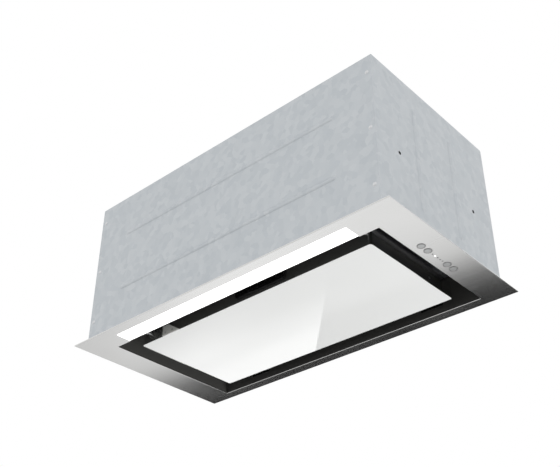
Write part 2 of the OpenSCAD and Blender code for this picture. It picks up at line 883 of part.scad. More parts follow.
module filter_frame(mid) {
    x0 = mid - filter_w / 2;
    x1 = mid + filter_w / 2;
    y0 = filter_y0;
    y1 = filter_y1;
    w = filter_wall;
    color(galvanised) difference() {
        union() {
            difference() {
                block([x0, y0, filter_z], [x1, y1, filter_top]);
                block(
                    [x0 + filter_rim, y0 + filter_rim, filter_z - 1],
                    [x1 - filter_rim, y1 - filter_rim, filter_top + 1]
                );
                block([x0 + w, y0 + w, filter_z + w], [x1 - w, y1 - w, filter_top - w]);
            }
            block(
                [mid - latch_pad_w / 2, y0, filter_z],
                [mid + latch_pad_w / 2, y0 + latch_pad_d, filter_top]
            );
            for (s = [-1, 1]) block(
                [mid + s * filter_tab_x - filter_tab_w / 2, y1 - 1, filter_tab_z],
                [mid + s * filter_tab_x + filter_tab_w / 2, y1 + filter_gap + 2, filter_tab_z + filter_tab_t]
            );
        }
        block(
            [mid - latch_slider_w / 2 - play, latch_y0 - play, filter_z - 1],
            [
                mid + latch_slider_w / 2 + play,
                latch_y0 + latch_slider_d + latch_travel + 1,
                filter_z + latch_slider_t + play
            ]
        );
        block(
            [mid - latch_bolt_w / 2 - play, y0 - 1, latch_bolt_z - play],
            [mid + latch_bolt_w / 2 + play, latch_y0 + 1, latch_bolt_z + latch_bolt_t + play]
        );
    }
}

module filter_frame_left() {
    filter_frame(-filter_mid);
}

module filter_frame_right() {
    filter_frame(filter_mid);
}

// A pleated sheet: its edge zigzags across the filter, and the sheet runs front to rear
module filter_mesh(mid) {
    w = filter_wall + play;
    span = filter_w - 2 * w;
    z0 = filter_z + w;
    z1 = filter_top - w - mesh_t;
    step = span / pleats;
    line = [for (i = [0 : pleats]) [mid - span / 2 + i * step, i % 2 == 0 ? z0 : z1]];
    y0 = filter_y0 + w;
    y1 = filter_y1 - w;
    pad = latch_pad_w / 2 + play;
    color(zinc) difference() {
        translate([0, y1, 0]) rotate([90, 0, 0]) linear_extrude(y1 - y0)
            polygon(concat(line, [for (i = [pleats : -1 : 0]) line[i] + [0, mesh_t]]));
        block([mid - pad, y0 - 1, filter_z], [mid + pad, filter_y0 + latch_pad_d + play, filter_top]);
    }
}

module filter_mesh_left() {
    filter_mesh(-filter_mid);
}

module filter_mesh_right() {
    filter_mesh(filter_mid);
}

module filter_latch(mid) {
    tab_d = 3;
    tab_h = 5;
    color(black) {
        block(
            [mid - latch_slider_w / 2, latch_y0, filter_z],
            [mid + latch_slider_w / 2, latch_y0 + latch_slider_d, filter_z + latch_slider_t]
        );
        block(
            [mid - latch_bolt_w / 2, latch_tip, latch_bolt_z],
            [mid + latch_bolt_w / 2, latch_y0, latch_bolt_z + latch_bolt_t]
        );
        block(
            [mid - latch_slider_w / 2, latch_y0 + 2, filter_z - tab_h],
            [mid + latch_slider_w / 2, latch_y0 + 2 + tab_d, filter_z]
        );
    }
}

module filter_latch_left() {
    filter_latch(-filter_mid);
}

module filter_latch_right() {
    filter_latch(filter_mid);
}

// The space inside the scroll, grown by a wall: a spiral from the tongue, and the way up to the outlet
module scroll_shape(grow, top) {
    spiral = [
        for (i = [0 : scroll_steps]) let (a = tongue_a + sweep * i / scroll_steps)
            polar(spiral_r(a) + grow, a)
    ];
    polygon(concat([[0, 0]], spiral));
    circle(r = scroll_r0 + grow);
    translate([outlet_in - grow, 0]) square([scroll_r1 - outlet_in + 2 * grow, top]);
}

module at_scroll_lugs() {
    for (a = scroll_lug_a) {
        p = polar(spiral_r(a) + scroll_t + lug_out, a);
        translate([0, blower_y + p[0], blower_z + p[1]]) children();
    }
}

module at_bushes() {
    for (a = bush_a) {
        p = polar(bush_ring_r, a);
        translate([0, blower_y + p[0], blower_z + p[1]]) children();
    }
}

module at_collar_screws() {
    for (x = [-collar_screw, collar_screw], y = [-collar_screw, collar_screw])
        translate([x, collar_y + y, 0]) children();
}

// The half of the scroll on the right; the left half is its mirror image
module scroll_half() {
    top = body_h - body_t;
    rise = top - blower_z;
    mouth = inlet_r + 3;
    difference() {
        union() {
            translate([0, blower_y, blower_z]) {
                yz_slab(0, scroll_out_x) scroll_shape(scroll_t, rise - 0.5);
                yz_slab(0, rim_t) scroll_shape(scroll_t + rim, rise - 0.5);
                rod_x(mouth + 2, scroll_x, scroll_out_x + 3, 0, 0);
            }
            at_scroll_lugs() rod_x(lug_r, 0, lug_l, 0, 0);
            block(
                [0, collar_y - collar_plate / 2, top - plate_t],
                [collar_plate / 2, collar_y + collar_plate / 2, top]
            );
        }
        translate([0, blower_y, blower_z]) {
            yz_slab(-1, scroll_x) scroll_shape(0, rise + 5);
            rotate([0, 90, 0]) rotate_extrude($fn = 72) polygon(concat(
                [[0, scroll_x - 2], [inlet_r, scroll_x - 2], [inlet_r, scroll_x + 1]],
                [for (a = [15 : 15 : 90]) [mouth - 3 * cos(a), scroll_x + 1 + 4.01 * sin(a)]],
                [[mouth, scroll_out_x + 4], [0, scroll_out_x + 4]]
            ));
        }
        at_scroll_lugs() rod_x(scroll_screw_r + 0.1, -1, lug_l + 1, 0, 0);
        at_collar_screws() translate([0, 0, top - 5]) cylinder(r = collar_screw_r + 0.2, h = 7);
    }
}

module scroll_right() {
    color("#3a3d40") scroll_half();
}

module scroll_left() {
    color("#3a3d40") difference() {
        union() {
            mirror([1, 0, 0]) scroll_half();
            at_bushes() rod_x(bush_r, -scroll_out_x - boss_t, -scroll_out_x, 0, 0);
        }
        at_bushes() rod_x(screw_r + 0.4, -scroll_out_x - 5, -scroll_x + 1, 0, 0);
    }
}

module scroll_screws() {
    color(zinc) at_scroll_lugs() {
        rod_x(scroll_screw_r, -lug_l, lug_l, 0, 0);
        rod_x(1.9 * scroll_screw_r, lug_l, lug_l + 2, 0, 0);
    }
}

module impeller() {
    inner = impeller_r - blade_d;
    arc_r = 0.82 * blade_d;
    half = impeller_w / 2;
    ring_t = 3;
    color("#2b4f6b") translate([0, blower_y, blower_z]) rotate([0, 90, 0]) difference() {
        union() {
            translate([0, 0, -half]) linear_extrude(impeller_w) for (i = [0 : blades - 1]) {
                rotate(i * 360 / blades) intersection() {
                    difference() {
                        circle(r = impeller_r);
                        circle(r = inner);
                    }
                    translate([inner + 0.7 * blade_d, -0.75 * blade_d]) difference() {
                        circle(r = arc_r);
                        circle(r = arc_r - blade_t);
                    }
                    translate([inner - 1, -0.6 * blade_d]) square([blade_d + 2, blade_d]);
                }
            }
            for (z = [-half, half - ring_t]) translate([0, 0, z]) difference() {
                cylinder(r = impeller_r + 0.5, h = ring_t, $fn = 96);
                translate([0, 0, -1]) cylinder(r = impeller_r - 0.45 * blade_d, h = ring_t + 2, $fn = 96);
            }
            translate([0, 0, disc_x]) cylinder(r = impeller_r + 0.5, h = disc_t, $fn = 96);
            translate([0, 0, disc_x]) cylinder(r = hub_r, h = hub_l);
        }
        translate([0, 0, disc_x - 1]) cylinder(r = shaft_r, h = hub_l + 2);
        for (i = [0 : 5]) rotate(i * 60) translate([0.6 * inner, 0, disc_x - 1])
            cylinder(r = 7, h = disc_t + 2);
    }
}

module impeller_nut() {
    x0 = disc_x + hub_l;
    color(zinc) translate([x0, blower_y, blower_z]) rotate([0, 90, 0]) difference() {
        cylinder(r = 2 * shaft_r, h = 5, $fn = 6);
        translate([0, 0, -1]) cylinder(r = shaft_r, h = 7);
    }
}

module motor_core() {
    slots = 16;
    color("#8d9194") translate([core_x0, blower_y, blower_z]) rotate([0, 90, 0]) linear_extrude(core_l)
        difference() {
            circle(r = motor_r);
            circle(r = core_bore);
            for (i = [0 : slots - 1]) rotate(i * 360 / slots) translate([1.35 * core_bore, 0])
                circle(r = 2.2);
        }
}

module motor_windings() {
    color(copper) for (x = [core_x0 - 10, core_x1]) translate([x, blower_y, blower_z]) rotate([0, 90, 0])
        difference() {
            cylinder(r = motor_r - 6, h = 10);
            translate([0, 0, -1]) cylinder(r = core_bore + 2, h = 12);
        }
}

// An end cap opens towards -X and holds the shaft at its closed end
module motor_cap() {
    vents = 8;
    difference() {
        rod_x(motor_r, 0, cap_l, 0, 0);
        rod_x(motor_r - cap_wall, -1, cap_l - cap_wall, 0, 0);
        rod_x(shaft_r + pin_play, 0, cap_l + 1, 0, 0);
        for (i = [0 : vents - 1]) rotate([i * 360 / vents, 0, 0])
            rod_x(4, cap_l - cap_wall - 1, cap_l + 1, 0.62 * motor_r, 0);
    }
    difference() {
        rod_x(2.2 * shaft_r, cap_l - 5, cap_l - cap_wall, 0, 0);
        rod_x(shaft_r + pin_play, 0, cap_l + 1, 0, 0);
    }
}

module motor_cap_inner() {
    color(galvanised) translate([core_x1, blower_y, blower_z]) motor_cap();
}

module motor_cap_outer() {
    color(galvanised) translate([core_x0, blower_y, blower_z]) mirror([1, 0, 0]) motor_cap();
}

module rotor_shaft() {
    color(steel) {
        rod_x(shaft_r, motor_x0 - 6, disc_x + hub_l + 7, blower_y, blower_z);
        rod_x(core_bore - 0.4, core_x0, core_x1, blower_y, blower_z);
    }
}

module motor_bracket() {
    arm = 8;
    color(galvanised) translate([0, blower_y, blower_z])
        yz_slab(motor_x0 - bracket_t, motor_x0) difference() {
            union() {
                circle(r = motor_r - 2);
                for (a = bush_a) rotate(a) {
                    translate([0, -arm]) square([bush_ring_r, 2 * arm]);
                    translate([bush_ring_r, 0]) circle(r = arm);
                }
            }
            circle(r = 3 * shaft_r);
            for (a = bush_a) rotate(a) {
                translate([bush_ring_r, 0]) circle(r = screw_r + 0.4);
                translate([0.72 * bush_ring_r, 0]) circle(r = arm / 2);
            }
        }
}

module motor_bushes() {
    color(black) at_bushes() difference() {
        rod_x(bush_r, motor_x0, -scroll_out_x - boss_t, 0, 0);
        rod_x(screw_r + 0.2, motor_x0 - 1, -scroll_x, 0, 0);
    }
}

module motor_screws() {
    x0 = motor_x0 - bracket_t;
    color(zinc) at_bushes() {
        rod_x(screw_r, x0, -scroll_x - 0.2, 0, 0);
        rod_x(2 * screw_r, x0 - 2, x0, 0, 0);
    }
}

module outlet_collar() {
    top = body_h + collar_foot_t;
    seat = flap_z - play;
    color(black) difference() {
        union() {
            translate([0, collar_y, body_h]) linear_extrude(collar_foot_t) difference() {
                soft_rect(
                    -collar_plate / 2 - 4, collar_plate / 2 + 4,
                    -collar_plate / 2 - 4, collar_plate / 2 + 4, 10
                );
                circle(r = collar_in, $fn = 120);
            }
            difference() {
                translate([0, collar_y, body_h]) cylinder(r = collar_r, h = collar_h, $fn = 120);
                translate([0, collar_y, body_h - 1]) cylinder(r = collar_in, h = collar_h + 2, $fn = 120);
            }
            difference() {
                translate([0, collar_y, seat - 1.5]) cylinder(r = collar_in + 0.5, h = 1.5, $fn = 120);
                translate([0, collar_y, seat - 3]) cylinder(r = collar_in - seat_w, h = 5, $fn = 120);
            }
            for (s = [-1, 1]) intersection() {
                translate([0, collar_y, body_h]) cylinder(r = collar_in + 0.5, h = collar_h);
                block(
                    [s > 0 ? collar_in - flap_lug : -collar_in, collar_y - flap_off - 3.5, seat - 1.5],
                    [s > 0 ? collar_in : flap_lug - collar_in, collar_y + flap_off + 3.5, flap_z + 5]
                );
            }
            block(
                [-collar_in, collar_y - flap_bar, seat - 1.5],
                [collar_in, collar_y + flap_bar, flap_z + flap_t]
            );
        }
        for (s = [-1, 1]) rod_x(
            flap_pin_r + pin_play, -collar_in + 3, collar_in - 3, collar_y + s * flap_off, flap_z + 1.5
        );
        at_collar_screws() translate([0, 0, body_h - 1])
            cylinder(r = collar_screw_r + 0.2, h = collar_foot_t + 2);
    }
}

// One half-round flap, drawn on the rear side of the collar's middle
module flap() {
    x = collar_in - flap_lug - play;
    color("#24262a") {
        difference() {
            translate([0, collar_y, flap_z]) cylinder(r = flap_r, h = flap_t, $fn = 120);
            block([-collar_r, collar_y - collar_r, flap_z - 1], [collar_r, collar_y + flap_off, flap_z + 5]);
            for (s = [-1, 1]) translate([s * (collar_in - flap_lug / 2), collar_y + flap_off, flap_z])
                cube([flap_lug + 2 * play + 2, 12, 8], center = true);
        }
        rod_x(flap_pin_r, -x, x, collar_y + flap_off, flap_z + 1.5);
        rod_x(flap_pin_r, -x - 5, -x + 1, collar_y + flap_off, flap_z + 1.5);
        rod_x(flap_pin_r, x - 1, x + 5, collar_y + flap_off, flap_z + 1.5);
    }
}

module flap_rear() {
    flap();
}

module flap_front() {
    translate([0, 2 * collar_y, 0]) mirror([0, 1, 0]) flap();
}

module collar_screws() {
    z1 = body_h + collar_foot_t;
    color(zinc) at_collar_screws() {
        translate([0, 0, body_h - body_t - plate_t - 2])
            cylinder(r = collar_screw_r, h = z1 - body_h + body_t + plate_t + 2);
        translate([0, 0, z1]) cylinder(r = collar_head_r, h = 2.2);
    }
}

module control_box() {
    color("#c9ccc8") difference() {
        union() {
            difference() {
                block([box_x0, box_y0, box_z + box_t], [box_x1, -box_y0, box_top]);
                block(
                    [box_x0 + box_t, box_y0 + box_t, box_z],
                    [box_x1 - box_t, -box_y0 - box_t, box_top - box_t]
                );
            }
            for (x = [box_x0 + 12, box_x1 - 12], y = [-box_y0 - 12, pcb_front + 8])
                rod_z(3, x, y, pcb_z, box_top - box_t);
        }
        translate([gland_x, gland_y, box_top - 5]) cylinder(r = gland_r + 0.1, h = 7);
    }
}

module control_box_lid() {
    lip = box_t + play;
    color("#c9ccc8") difference() {
        union() {
            block([box_x0, box_y0, box_z], [box_x1, -box_y0, box_z + box_t]);
            block([box_x0 + lip, box_y0 + lip, box_z], [box_x1 - lip, -box_y0 - lip, box_z + box_t + 4]);
        }
        block(
            [box_x0 + lip + 1.5, box_y0 + lip + 1.5, box_z + box_t],
            [box_x1 - lip - 1.5, -box_y0 - lip - 1.5, box_z + box_t + 5]
        );
    }
}

module power_board() {
    x0 = box_x0 + box_t + 3;
    x1 = box_x1 - box_t - 3;
    y1 = -box_y0 - box_t - 3;
    low = pcb_z - board_t;
    transformer = [30, 28, 22];
    relay = [18, 14, 15];
    relay_pitch = 18;
    margin = 8;
    color(board_green) {
        block([x0, pcb_front, low], [x1, y1, pcb_z]);
        translate([x0 + margin, y1 - margin - transformer[1], low - transformer[2]]) cube(transformer);
        for (i = [0 : 2])
            translate([x1 - margin - relay[0], pcb_front + margin + i * relay_pitch, low - relay[2]])
            cube(relay);
    }
}

module capacitor() {
    z = box_z + box_t + cap_r + play;
    color(white) {
        rod_y(cap_r, box_x0 + 24, box_y0 + 4, box_y0 + 42, z);
        rod_y(0.8 * cap_r, box_x0 + 24, box_y0 + 42, box_y0 + 44, z);
    }
}

module terminal_block() {
    poles = 5;
    pitch = 9;
    z1 = box_top - box_t;
    color("#e8e4d8") translate([box_x0 + 14, box_y0 + 10, 0]) difference() {
        block([0, 0, z1 - 14], [poles * pitch, 16, z1]);
        for (i = [0 : poles - 1]) translate([(i + 0.5) * pitch, 8, z1 - 15]) cylinder(r = 2.5, h = 8);
    }
}

module cable_gland() {
    color(black) difference() {
        union() {
            rod_z(gland_head, gland_x, gland_y, body_h, body_h + 4);
            translate([gland_x, gland_y, body_h + 4]) cylinder(r1 = 9.5, r2 = 7.5, h = 12);
            rod_z(gland_r, gland_x, gland_y, box_top - box_t - 7, body_h);
            translate([gland_x, gland_y, box_top - box_t - 5]) cylinder(r = gland_head, h = 5, $fn = 6);
        }
        rod_z(cable_r, gland_x, gland_y, box_top - 20, body_h + 20);
    }
}

module control_carrier() {
    x0 = button_x - carrier_w / 2;
    x1 = button_x + carrier_w / 2;
    color(black) difference() {
        union() {
            block([x0, carrier_y0, back_z], [x1, carrier_y1, carrier_top]);
            for (y = [carrier_y0 + 2.5, carrier_y1 - 2.5]) rod_z(2.5, button_x, y, back_z, carrier_board_z);
        }
        for (y = button_y) {
            rod_z(button_flange_r + play, button_x, y, back_z - 1, pocket_top);
            rod_z(button_stem_r + pin_play, button_x, y, 0, carrier_top + 1);
        }
        for (y = light_y) rod_z(light_r + 0.1, button_x, y, back_z - 1, carrier_top + 1);
    }
}

module control_board() {
    x0 = button_x - carrier_w / 2;
    x1 = button_x + carrier_w / 2;
    z = carrier_board_z;
    color(board_green) {
        block([x0, carrier_y0, z], [x1, carrier_y1, z + board_t]);
        for (y = button_y) {
            translate([button_x, y, z - 1.2]) cube([6, 6, 2.5], center = true);
            rod_z(1.7, button_x, y, z - switch_t, z);
        }
        for (y = light_y) translate([button_x, y, z - 0.5]) cube([2, 1.2, 1.1], center = true);
    }
}

module button(y) {
    z0 = face_z - button_proud;
    flange_z = back_z + play;
    color(zinc) {
        translate([button_x, y, z0]) cylinder(r1 = button_r - button_bevel, r2 = button_r, h = button_edge);
        rod_z(button_r, button_x, y, z0 + button_edge, flange_z);
        rod_z(button_flange_r, button_x, y, flange_z, flange_z + button_flange_t);
        rod_z(button_stem_r, button_x, y, flange_z, stem_top);
    }
}

module button_light() {
    button(button_y[0]);
}

module button_slower() {
    button(button_y[1]);
}

module button_faster() {
    button(button_y[2]);
}

module button_timer() {
    button(button_y[3]);
}

module light_pipe(y) {
    color(white) rod_z(light_r, button_x, y, face_z, carrier_board_z - 1.4);
}

module indicator_pipes() {
    for (i = [0 : 4]) if (i != lit_light) light_pipe(light_y[i]);
}

module indicator_lit() {
    light_pipe(light_y[lit_light]);
}

fascia();
fascia_nuts();
recess_frame();
housing_wrap();
side_plate_left();
side_plate_right();
housing_rivets();
lamp_diffuser();
lamp_tray();
led_board();
lamp_lead_cover();
catch_left();
catch_right();
tray_guide();
panel_glass();
panel_tray();
catch_studs();
hinge_leaf_left();
hinge_leaf_right();
hinge_bracket_left();
hinge_bracket_right();
hinge_pins();
recess_screws();
filter_frame_left();
filter_frame_right();
filter_mesh_left();
filter_mesh_right();
filter_latch_left();
filter_latch_right();
scroll_left();
scroll_right();
scroll_screws();
impeller();
impeller_nut();
motor_core();
motor_windings();
motor_cap_inner();
motor_cap_outer();
rotor_shaft();
motor_bracket();
motor_bushes();
motor_screws();
outlet_collar();
flap_front();
flap_rear();
collar_screws();
control_box();
control_box_lid();
power_board();
capacitor();
terminal_block();
cable_gland();
control_carrier();
control_board();
button_light();
button_slower();
button_faster();
button_timer();
indicator_pipes();
indicator_lit();
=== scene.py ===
# Built-in range hood, 60 cm, with a white glass panel that swings down in front of its filters.
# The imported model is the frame. This script gives each piece its real finish, makes the fine pieces
# that are too small for the solids, and sets up the light and the camera.
import math

import bmesh
import bpy
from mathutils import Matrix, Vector


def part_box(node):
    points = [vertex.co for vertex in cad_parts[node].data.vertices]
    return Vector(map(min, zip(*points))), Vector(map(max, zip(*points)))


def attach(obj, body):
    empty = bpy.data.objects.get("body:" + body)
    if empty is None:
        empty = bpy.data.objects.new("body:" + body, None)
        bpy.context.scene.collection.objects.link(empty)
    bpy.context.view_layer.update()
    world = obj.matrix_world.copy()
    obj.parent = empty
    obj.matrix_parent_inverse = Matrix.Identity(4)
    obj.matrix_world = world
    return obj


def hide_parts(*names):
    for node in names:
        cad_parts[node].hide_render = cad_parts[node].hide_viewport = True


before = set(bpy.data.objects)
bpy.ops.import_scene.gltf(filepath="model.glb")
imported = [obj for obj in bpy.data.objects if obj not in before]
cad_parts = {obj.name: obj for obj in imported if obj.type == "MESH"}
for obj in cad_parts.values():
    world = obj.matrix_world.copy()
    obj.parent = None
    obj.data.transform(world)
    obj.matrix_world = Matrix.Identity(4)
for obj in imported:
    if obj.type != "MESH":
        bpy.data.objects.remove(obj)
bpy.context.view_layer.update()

# Camera
# It stands where the photograph was taken, worked out from the fascia's corners and its real size:
# low down in front of the hood and to its right, looking up at the underside. Angles are in degrees.
MM = 0.001
stands_at = Vector((774.6, -879.1, -619.3)) * MM
looks_up, turned_left = 33.327, 41.703
lens = bpy.data.cameras.new("camera")
lens.sensor_width = 36
lens.lens = 57.75
lens.clip_start, lens.clip_end = 0.05, 60
camera = bpy.data.objects.new("camera", lens)
camera.location = stands_at
camera.rotation_euler = (math.radians(90 + looks_up), 0, math.radians(turned_left))
bpy.context.scene.collection.objects.link(camera)
bpy.context.scene.camera = camera

# Fascia
# One sheet of stainless steel, 1 mm thick, folded back on itself round its outer edge. It is brushed
# along its width, which stretches every reflection front to rear and leaves fine lines along X.


def linear(code):
    """The linear colour of an sRGB hex code, with alpha 1."""
    parts = [int(code[i : i + 2], 16) / 255 for i in (1, 3, 5)]
    return [c / 12.92 if c <= 0.04045 else ((c + 0.055) / 1.055) ** 2.4 for c in parts] + [1]


def add(tree, kind, inputs=None, to=None, **settings):
    """Adds a node with its settings. An input is a value or another node's output, and "to" is the
    socket that takes this node's first output."""
    made = tree.nodes.new(kind)
    for name, value in settings.items():
        setattr(made, name, value)
    for name, value in (inputs or {}).items():
        if isinstance(value, bpy.types.NodeSocket):
            tree.links.new(value, made.inputs[name])
        else:
            made.inputs[name].default_value = value
    if to is not None:
        tree.links.new(made.outputs[0], to)
    return made


def start_finish(name, colour, roughness, metallic=0.0, ior=None):
    """A new material: its node tree, its shader's inputs, and where on the hood a point is, in metres."""
    made = bpy.data.materials.new(name)
    made.use_nodes = True
    tree = made.node_tree
    skin = tree.nodes["Principled BSDF"].inputs
    skin["Base Color"].default_value = linear(colour)
    skin["Roughness"].default_value = roughness
    skin["Metallic"].default_value = metallic
    if ior is not None:
        skin["IOR"].default_value = ior
    made.diffuse_color = linear(colour)
    place = add(tree, "ShaderNodeTexCoord").outputs["Object"]
    return made, tree, skin, place


def dress(material, *names):
    """These CAD nodes keep their shape and take this material."""
    for name in names:
        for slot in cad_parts[name].material_slots:
            slot.material = material


# Satin brushed stainless steel: pale, soft reflections with a faint grain. The brush lines are 0.1 mm
# wide on the real sheet and are drawn 0.8 mm wide and 60 mm long, so that they show at this size.
steel, tree, skin, place = start_finish("stainless_steel_satin_brushed", "#DDDDDC", 0.25, 1.0)
brush_line = (60 * MM, 0.8 * MM, 0.8 * MM)
lines = add(tree, "ShaderNodeMapping", {"Vector": place, "Scale": [1 / size for size in brush_line]})
brush = add(tree, "ShaderNodeTexNoise", {"Vector": lines.outputs[0], "Scale": 1, "Detail": 2})
cloud = add(tree, "ShaderNodeTexNoise", {"Vector": place, "Scale": 1 / (90 * MM), "Detail": 2})
grain = add(tree, "ShaderNodeMath", {0: brush.outputs["Fac"], 1: cloud.outputs["Fac"]}, operation="ADD")
add(tree, "ShaderNodeMapRange", {
    "Value": grain.outputs[0], "From Min": 0.6, "From Max": 1.4, "To Min": 0.21, "To Max": 0.28,
}, to=skin["Roughness"])
add(tree, "ShaderNodeMixRGB", {
    "Fac": brush.outputs["Fac"], "Color1": linear("#D9D9D8"), "Color2": linear("#E1E1E0"),
}, to=skin["Base Color"])
add(tree, "ShaderNodeBump", {
    "Height": brush.outputs["Fac"], "Strength": 0.12, "Distance": 0.05 * MM,
}, to=skin["Normal"])
dress(steel, "fascia")

# Buttons
# Four round push buttons of grey plastic with a metallised satin face. Their bevel is painted darker,
# as painted shade of the gap round each cap. They stand 0.8 mm out of the right rail, and each one
# rides on its own body.
# The satin's frost is finer than a tenth of a millimetre, and is drawn 0.5 mm coarse.
satin, tree, skin, place = start_finish("metallised_cap_satin", "#C4C5C5", 0.34, 1.0)
facing = add(tree, "ShaderNodeSeparateXYZ", {"Vector": add(tree, "ShaderNodeTexCoord").outputs["Normal"]})
# The face looks straight down, where the normal's Z is -1, and the bevel looks outwards.
face_z, bevel_z = -0.98, -0.93
painted_bevel_shade = add(tree, "ShaderNodeMapRange", {
    "Value": facing.outputs["Z"], "From Min": face_z, "From Max": bevel_z, "To Min": 0, "To Max": 1,
})
# The bevel takes a dark grey: painted shade of the gap round the cap, not a finish of its own.
add(tree, "ShaderNodeMixRGB", {
    "Fac": painted_bevel_shade.outputs[0], "Color1": linear("#C4C5C5"), "Color2": linear("#303132"),
}, to=skin["Base Color"])
frost = add(tree, "ShaderNodeTexNoise", {"Vector": place, "Scale": 1 / (0.5 * MM), "Detail": 2})
add(tree, "ShaderNodeMapRange", {
    "Value": frost.outputs["Fac"], "To Min": 0.28, "To Max": 0.42,
}, to=skin["Roughness"])
add(tree, "ShaderNodeBump", {
    "Height": frost.outputs["Fac"], "Strength": 0.1, "Distance": 0.05 * MM,
}, to=skin["Normal"])
dress(satin, "button_light", "button_slower", "button_faster", "button_timer")

# Indicators
# Five clear acrylic pipes, 2.4 mm thick, lead the light of small lamps on the control board to the
# fascia. Unlit they look dark, because they show the inside of the control; the lit one is white.
# The faint haze of their moulded ends is drawn coarser than it is.
haze_size = 0.8 * MM
pipe, tree, skin, place = start_finish("acrylic_light_pipe_unlit", "#77787A", 0.16, ior=1.49)
haze = add(tree, "ShaderNodeTexNoise", {"Vector": place, "Scale": 1 / haze_size})
add(tree, "ShaderNodeMapRange", {
    "Value": haze.outputs["Fac"], "To Min": 0.1, "To Max": 0.22,
}, to=skin["Roughness"])
dress(pipe, "indicator_pipes")
pipe_lit, tree, skin, place = start_finish("acrylic_light_pipe_lit", "#F7F7F7", 0.16, ior=1.49)
haze = add(tree, "ShaderNodeTexNoise", {"Vector": place, "Scale": 1 / haze_size})
skin["Emission Color"].default_value = linear("#FFFFFF")
add(tree, "ShaderNodeMapRange", {
    "Value": haze.outputs["Fac"], "To Min": 1.1, "To Max": 1.5,
}, to=skin["Emission Strength"])
dress(pipe_lit, "indicator_lit")

# Lamp
# An opal acrylic bar in a slot of the front rail, flush with the steel and lit from behind by a row
# of light emitters on a white board, in a folded aluminium tray. The bar is a little brighter over
# each emitter, where the wave along it is lowest.


def wave_along_x(tree, place, pitch, kind):
    """A wave from -1 to 1 along X, a COSINE or a SINE, with one crest to each pitch."""
    along = add(tree, "ShaderNodeSeparateXYZ", {"Vector": place})
    turn = add(tree, "ShaderNodeMath", {0: along.outputs["X"], 1: math.tau / pitch}, operation="MULTIPLY")
    return add(tree, "ShaderNodeMath", {0: turn.outputs[0]}, operation=kind).outputs[0]


opal, tree, skin, place = start_finish("acrylic_opal_lit", "#F4F4F2", 0.25, ior=1.49)
emitter_pitch = 21 * MM
over_emitter, between_emitters = 1.45, 1.25
skin["Emission Color"].default_value = linear("#FFFFFD")
add(tree, "ShaderNodeMapRange", {
    "Value": wave_along_x(tree, place, emitter_pitch, "COSINE"),
    "From Min": -1, "From Max": 1, "To Min": over_emitter, "To Max": between_emitters,
}, to=skin["Emission Strength"])
dress(opal, "lamp_diffuser")

# Mill finish aluminium: soft grey sheet with faint lines along the direction it was rolled in. They
# are hair lines on the real sheet, and are drawn 1 mm wide and 30 mm long.
aluminium, tree, skin, place = start_finish("aluminium_mill_finish", "#D3D4D6", 0.34, 1.0)
rolling_line = (30 * MM, 1 * MM, 1 * MM)
lines = add(tree, "ShaderNodeMapping", {"Vector": place, "Scale": [1 / size for size in rolling_line]})
rolled = add(tree, "ShaderNodeTexNoise", {"Vector": lines.outputs[0], "Scale": 1, "Detail": 3})
add(tree, "ShaderNodeMapRange", {
    "Value": rolled.outputs["Fac"], "To Min": 0.26, "To Max": 0.42,
}, to=skin["Roughness"])
add(tree, "ShaderNodeMixRGB", {
    "Fac": rolled.outputs["Fac"], "Color1": linear("#C8CACC"), "Color2": linear("#DCDDDE"),
}, to=skin["Base Color"])
add(tree, "ShaderNodeBump", {
    "Height": rolled.outputs["Fac"], "Strength": 0.15, "Distance": 0.1 * MM,
}, to=skin["Normal"])
dress(aluminium, "lamp_tray")

# Panel glass
# A pane of 4 mm tempered glass, painted white on its back and set flush into the tray: flat white under
# a clear gloss, with the slight ripple that tempering leaves. The solid has square edges, so this pane
# replaces it and has the ground 0.3 mm chamfers that catch the light.
glass, tree, skin, place = start_finish("tempered_glass_painted_white", "#EAEBEA", 0.03, ior=1.52)
ripple = add(tree, "ShaderNodeTexNoise", {"Vector": place, "Scale": 1 / (70 * MM), "Detail": 1})
add(tree, "ShaderNodeBump", {
    "Height": ripple.outputs["Fac"], "Strength": 0.05, "Distance": 0.2 * MM,
}, to=skin["Normal"])
add(tree, "ShaderNodeMixRGB", {
    "Fac": ripple.outputs["Fac"], "Color1": linear("#E9EAE9"), "Color2": linear("#ECEDEC"),
}, to=skin["Base Color"])
glass_edge, tree, skin, place = start_finish("tempered_glass_polished_edge", "#E6ECEA", 0.12, ior=1.52)
ground = add(tree, "ShaderNodeTexNoise", {"Vector": place, "Scale": 1 / (1.5 * MM), "Detail": 2})
add(tree, "ShaderNodeMapRange", {
    "Value": ground.outputs["Fac"], "To Min": 0.08, "To Max": 0.2,
}, to=skin["Roughness"])

chamfer = 0.3 * MM
corner_r = 3 * MM
corner_steps = 10
glass_low, glass_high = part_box("panel_glass")


def round_outline(low, high, inset, radius, steps):
    """Points of a rectangle with round corners, from its lowest and highest corner, anticlockwise."""
    points = []
    r = radius - inset
    for k, (sx, sy) in enumerate([(1, -1), (1, 1), (-1, 1), (-1, -1)]):
        cx = (high.x - inset - r) if sx > 0 else (low.x + inset + r)
        cy = (high.y - inset - r) if sy > 0 else (low.y + inset + r)
        for i in range(steps + 1):
            a = math.radians(-90 + 90 * k + 90 * i / steps)
            points.append((cx + r * math.cos(a), cy + r * math.sin(a)))
    return points


def stack_outlines(mesh, layers):
    """Joins outlines of the same number of points, each at its height, into a closed solid."""
    rings = [[mesh.verts.new((x, y, z)) for x, y in points] for points, z in layers]
    count = len(rings[0])
    for below, above in zip(rings, rings[1:]):
        for i in range(count):
            j = (i + 1) % count
            mesh.faces.new((below[i], below[j], above[j], above[i]))
    mesh.faces.new(list(reversed(rings[0])))
    mesh.faces.new(rings[-1])


